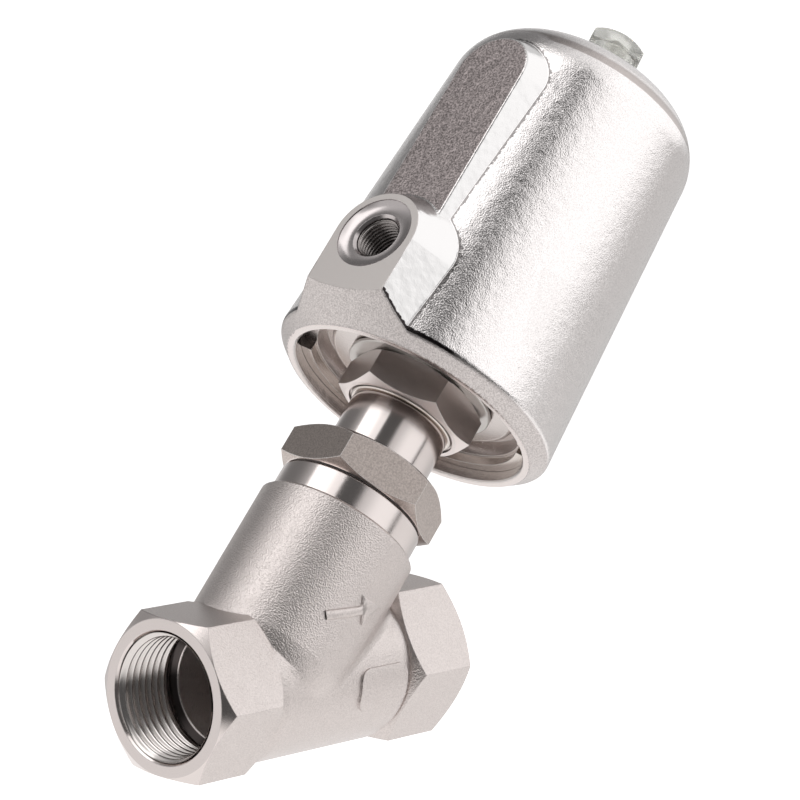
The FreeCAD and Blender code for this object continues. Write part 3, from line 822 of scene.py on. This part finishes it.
# %% Thread profile and helix
thread_profile = [(0.0, 0.0), (0.12, 0.12), (0.30, 0.72), (0.40, 0.95), (0.50, 1.0),
                  (0.60, 0.95), (0.70, 0.72), (0.88, 0.12), (1.0, 0.0)]
wall_gap = 0.02
lead_share = 0.6
steps_a_turn = 96


def thread_piece(name, mount, pitch, crest_height):
    """Helical ridge on the wall of a threaded mount."""
    start = Vector(mount["pos_m"])
    inward = -Vector(mount["axis"]).normalized()
    side = inward.orthogonal().normalized()
    other = inward.cross(side)
    wall = mount["dims"]["r_mm"] - wall_gap
    depth = mount["dims"]["length_mm"]
    mouth_lead = pitch * lead_share
    rows = []
    for index in range(int(depth / pitch * steps_a_turn) + 1):
        angle = 2 * math.pi * index / steps_a_turn
        out = side * math.cos(angle) + other * math.sin(angle)
        row = []
        for share, lift in thread_profile:
            along = pitch * (index / steps_a_turn + share - 0.5)
            lead = min(1, max(0, (along - mouth_lead * 0.3) / mouth_lead))
            runout = min(1, max(0, (depth - along) / pitch))
            radius = wall - crest_height * lift * lead * runout
            along = max(0.0, min(along, depth))
            row.append(start + (inward * along + out * radius) * mm)
        rows.append(row)
    return mesh_from_rows(name, rows)


port_pitch = 1.814
port_thread_height = 1.16
air_pitch = 0.907
air_thread_height = 0.58
# painted shade: a darker steel for the air thread
make_plain_metal("shaded_thread_steel", (0.34, 0.31, 0.30), 0.22)
threads = [
    ("inlet_thread", "inlet_port", "valve", port_pitch, port_thread_height, "turned_steel"),
    ("outlet_thread", "outlet_port", "valve", port_pitch, port_thread_height, "turned_steel"),
    ("air_thread", "pilot_port", "actuator", air_pitch, air_thread_height, "shaded_thread_steel"),
]
for name, mount_name, body, pitch, crest_height, finish_name in threads:
    mount = next(m for m in record["mounts"] if m["name"] == mount_name)
    piece = thread_piece(name, mount, pitch, crest_height)
    piece.data.materials.append(finishes[finish_name])
    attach(piece, body)
    print(name, "turns:", round(mount["dims"]["length_mm"] / pitch, 1))

# %% [markdown]
# ## Flow arrow and film
#
# A raised arrow on the branch and a clear film on the housing both lie on a curved wall.
# Neither wall needs to be described again: rays from outside find it. `laid_on` takes a flat
# place, wraps it round the leaning axis and drops it onto the CAD node, with a small lift.

# %% Lay points on a wall
ray_start = 15.0
depsgraph = bpy.context.evaluated_depsgraph_get()
walls = {name: BVHTree.FromObject(nodes[name], depsgraph)
         for name in ("valve_body", "actuator_housing")}


def laid_on(node, centre, turn, u, v, lift):
    """A flat point (u, v) in mm, turned, laid on a node around the leaning axis."""
    azimuth, height, radius = centre
    cosine = math.cos(math.radians(turn))
    sine = math.sin(math.radians(turn))
    round_way = u * cosine - v * sine
    up_way = u * sine + v * cosine
    angle = azimuth + math.degrees(round_way / radius)
    outside = on_axis(radius + ray_start, angle, height + up_way)
    inward = (on_axis(0, angle, height + up_way) - outside).normalized()
    hit = walls[node].ray_cast(outside, inward)[0]
    return hit - inward * lift * mm


# %% [markdown]
# The arrow is drawn as stations along its length, each with its own half width, and every
# station carries the same soft section from foot to foot.

# %% Flow arrow
arrow_length = 15.0
arrow_height = 0.45
arrow_centre = (-96, 20, 17.7)
arrow_turn = 40
shaft_half = 0.9
head_length = 5.5
head_half = 2.9
tip_half = 0.1
station_step = 0.5
strip_foot = 0.25
strip_sunk = 0.2


def strip_section(half, tall):
    """Soft section of a raised strip, from foot to foot, as (across, lift)."""
    rising = [(half + strip_foot, -strip_sunk), (half, 0.55 * tall), (half * 0.8, tall)]
    mirrored = [(-across_way, lift) for across_way, lift in rising]
    return mirrored + [(0, tall)] + rising[::-1]


def raised_strip(name, node, centre, turn, stations, tall):
    """Raised strip with a soft section, laid on a wall."""
    rows = []
    for u, half in stations:
        rows.append([laid_on(node, centre, turn, u, v, lift)
                     for v, lift in strip_section(half, tall)])
    return mesh_from_rows(name, rows)


head_start = arrow_length / 2 - head_length
shaft_stations = round((arrow_length - head_length) / station_step) + 1
stations = [(-arrow_length / 2 + station_step * index, shaft_half)
            for index in range(shaft_stations)]
stations += [(head_start + head_length * index / 5, head_half * (1 - index / 5) + tip_half)
             for index in range(6)]
arrow = raised_strip("flow_arrow", "valve_body", arrow_centre, arrow_turn, stations, arrow_height)
arrow.data.materials.append(finishes["cast_steel"])
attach(arrow, "valve")
print("arrow stations:", len(stations))

# %% [markdown]
# The film is a plain rectangle of clear plastic, five hundredths of a millimetre off the
# metal, and it stays bare. It could be a cut in the housing's finish, but a sheet of its own
# catches the light at its own angle, as real film does.

# %% Clear film
film_width = 24.0
film_height = 17.5
film_centre = (-93.5, 93.5, 30.6)
film_turn = 12.0
film_gap = 0.05
film_steps = 24
film_colour = (0.90, 0.89, 0.88)


def film_rows():
    """Rows of the film's rectangle, laid on the housing."""
    rows = []
    for j in range(film_steps + 1):
        v = film_height * (j / film_steps - 0.5)
        row = []
        for i in range(film_steps + 1):
            u = film_width * (i / film_steps - 0.5)
            row.append(laid_on("actuator_housing", film_centre, film_turn, u, v, film_gap))
        rows.append(row)
    return rows


def make_film_finish():
    """Film that is almost wholly see-through."""
    sheet = new_sheet("film_clear")
    place = Place(sheet)
    haze = noise(place.point, 0.5, detail=2.0)
    finish(sheet, film_colour, 0.12 + haze * 0.1, None, metallic=0.0, Alpha=0.04)


make_film_finish()
film = mesh_from_rows("label_film", film_rows())
film.data.materials.append(finishes["film_clear"])
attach(film, "actuator")
print("film is", film_width, "by", film_height, "mm")

# %% [markdown]
# ## Studio
#
# Polished steel has no look of its own: it shows the room. The room here is a pale studio
# with one large panel overhead, a bright wall on the right that is grey where it meets the
# table, a dark gap towards the camera and a darker wall on the left. A real set of walls
# would do as well, but the world can paint the room by direction alone, with soft edges.
# Rays from the camera see plain white.

# %% The room as a world
camera_heading = -138
dark_wall_at = (74, 38)
room_level = 0.80
side_wall_light = 0.50
upper_wall_light = 0.54
camera_gap_shade = 0.86
dark_wall_shade = 0.74
table_line_shade = 0.42


def heading(degrees, elevation=0.0):
    """Direction from a compass heading and an elevation, both in degrees."""
    flat = math.cos(math.radians(elevation))
    turn = math.radians(degrees)
    upward = math.sin(math.radians(elevation))
    return Vector((flat * math.cos(turn), flat * math.sin(turn), upward))


def make_room():
    """World that paints the studio's walls by direction."""
    world = bpy.data.worlds.new("studio")
    world.use_nodes = True
    bpy.context.scene.world = world
    sheet = Sheet(world.node_tree)
    view = sheet.add("ShaderNodeTexCoord", {}, {}, output="Generated")
    to_right = dot(view, heading(camera_heading + 90))
    to_front = dot(view, heading(camera_heading))
    upward = dot(view, (0, 0, 1))
    upper_wall = rise(to_right + upward, 1.06, 1.22) * (1 - rise(upward, 0.80, 0.90) * 0.6)
    side_wall = rise(to_right, 0.45, 0.80)
    bright_wall = both(side_wall * side_wall_light, upper_wall * upper_wall_light)
    beside_camera = both(rise(to_right, 0.46, 0.78), rise(to_right + upward * 0.5, 0.66, 0.73))
    low_gap = rise(to_right, -0.85, -0.60) * (1 - rise(upward, 0.35, 0.55))
    camera_gap = both(rise(to_right, -0.45, -0.25), low_gap) * rise(to_front, 0.05, 0.40)
    camera_gap = camera_gap * (1 - beside_camera)
    dark_wall = rise(dot(view, heading(*dark_wall_at)), 0.69, 0.96)
    table_line = (1 - rise(upward, 0.0, 0.06)) * rise(to_right, 0.50, 0.75)
    level = (room_level + bright_wall) * (1 - camera_gap * camera_gap_shade)
    level = level * (1 - dark_wall * dark_wall_shade) * (1 - table_line * table_line_shade)
    rays = sheet.add("ShaderNodeLightPath", {}, {}, output="Is Camera Ray")
    strength = fade(rays, level, 1.0)
    light = sheet.add("ShaderNodeBackground", {}, {"Color": (1, 1, 1), "Strength": strength})
    sheet.add("ShaderNodeOutputWorld", {}, {"Surface": light})


make_room()
print("room level:", room_level)

# %% [markdown]
# The overhead panel is an area lamp, so its edge is crisp in the polished steel. Its strength
# is worked out so that steel under it renders about as bright as its own colour.

# %% Overhead panel
centre = (cad_low + cad_high) / 2
panel_towards = Vector((-0.468, 0.131, 0.874))
panel_edge = Vector((0.107, 0.990, -0.092))
panel_distance = 1.5
panel_width = 1.30
panel_tall = 1.25
panel_radiance = 1.25


def panel(name, towards, distance, width, tall, radiance, edge):
    """Area lamp that faces the object, with its long side along an edge direction."""
    lamp = bpy.data.lights.new(name, "AREA")
    lamp.shape = "RECTANGLE"
    lamp.size = width
    lamp.size_y = tall
    lamp.energy = radiance * math.pi * width * tall
    lamp_object = bpy.data.objects.new(name, lamp)
    bpy.context.scene.collection.objects.link(lamp_object)
    z_way = towards.normalized()
    x_way = (edge - z_way * edge.dot(z_way)).normalized()
    y_way = z_way.cross(x_way)
    turn = Matrix((x_way, y_way, z_way)).transposed().to_4x4()
    lamp_object.matrix_world = Matrix.Translation(centre + z_way * distance) @ turn
    return lamp_object


overhead = panel("overhead_panel", panel_towards, panel_distance, panel_width, panel_tall,
                 panel_radiance, panel_edge)
print("overhead panel at", [round(v, 2) for v in overhead.location])

# %% [markdown]
# The floor is plain and pale and far enough below that the valve's shadow falls out of the
# picture. It adds a little light of its own to what the camera and the steel see of it, so
# that it reads as white while it still takes the shadow. What the steel sees of it gets
# darker towards the camera, behind the valve and far out to the right.

# %% Floor
floor_reach = 40.0
floor_drop = 0.35
floor_colour = (0.82, 0.81, 0.80)
seen_glow = 0.60
mirrored_glow = 0.50
far_side_loss = 0.42
near_camera_glow = 0.10
far_side_heading = 35


def make_floor_finish():
    """Pale floor with a glow that only the camera, the steel and the plastic see."""
    sheet = new_sheet("floor_white")
    from_camera = sheet.add("ShaderNodeLightPath", {}, {}, output="Is Camera Ray")
    glossy = sheet.add("ShaderNodeLightPath", {}, {}, output="Is Glossy Ray")
    through = sheet.add("ShaderNodeLightPath", {}, {}, output="Is Transmission Ray")
    mirrored = both(glossy, through)
    surface = sheet.add("ShaderNodeBsdfDiffuse", {}, {"Color": floor_colour})
    place = sheet.add("ShaderNodeTexCoord", {}, {}, output="Object")
    far_side = rise(dot(place, heading(far_side_heading)), 0.62, 1.00)
    skyline = rise(dot(place, heading(camera_heading + 90)), 4.5, 9.0)
    floor_glow = (mirrored_glow - far_side * far_side_loss) * (1 - skyline * 0.5)
    glow_level = both(from_camera * seen_glow, mirrored * floor_glow)
    glow = sheet.add("ShaderNodeEmission", {}, {"Color": (1, 1, 1), "Strength": glow_level})
    light = sheet.add("ShaderNodeAddShader", {}, {0: surface, 1: glow})
    dark = sheet.add("ShaderNodeEmission", {}, {"Color": (1, 1, 1), "Strength": near_camera_glow})
    near_camera = rise(dot(place, heading(camera_heading)), 0.5, 1.3) * mirrored
    shown = sheet.add("ShaderNodeMixShader", {}, {0: near_camera, 1: light, 2: dark})
    sheet.add("ShaderNodeOutputMaterial", {}, {"Surface": shown})


make_floor_finish()
level = cad_low.z - floor_drop
corner_signs = [(-1, -1), (1, -1), (1, 1), (-1, 1)]
corners = [(floor_reach * x, floor_reach * y, level) for x, y in corner_signs]
floor_mesh = bpy.data.meshes.new("floor")
floor_mesh.from_pydata(corners, [], [(0, 1, 2, 3)])
floor = bpy.data.objects.new("floor", floor_mesh)
bpy.context.scene.collection.objects.link(floor)
floor.data.materials.append(finishes["floor_white"])
print("floor is", round(centre.z - level, 3), "m below the valve's middle")

# %% [markdown]
# ## Camera
#
# The camera stands where the photograph was taken from, low on the inlet side, with a long
# lens. Its place came from matching the valve's edges to the picture.

# %% Camera
camera_place = Vector((-0.474609, -0.455731, 0.170143))
camera_aim = Vector((0.754736, 0.635908, -0.161227)).normalized()
camera_up = Vector((0.079308, 0.155517, 0.984644))
camera_data = bpy.data.cameras.new("camera")
camera_data.sensor_width = 36.0
camera_data.lens = 153.63
camera_data.clip_start = 0.05
camera_data.clip_end = 200.0
camera = bpy.data.objects.new("camera", camera_data)
bpy.context.scene.collection.objects.link(camera)
right_way = camera_aim.cross(camera_up).normalized()
turn = Matrix((right_way, right_way.cross(camera_aim), -camera_aim)).transposed().to_4x4()
camera.matrix_world = Matrix.Translation(camera_place) @ turn
bpy.context.scene.camera = camera
bpy.context.scene.view_settings.view_transform = "Standard"
print("camera is", round((camera_place - centre).length, 3), "m from the valve")
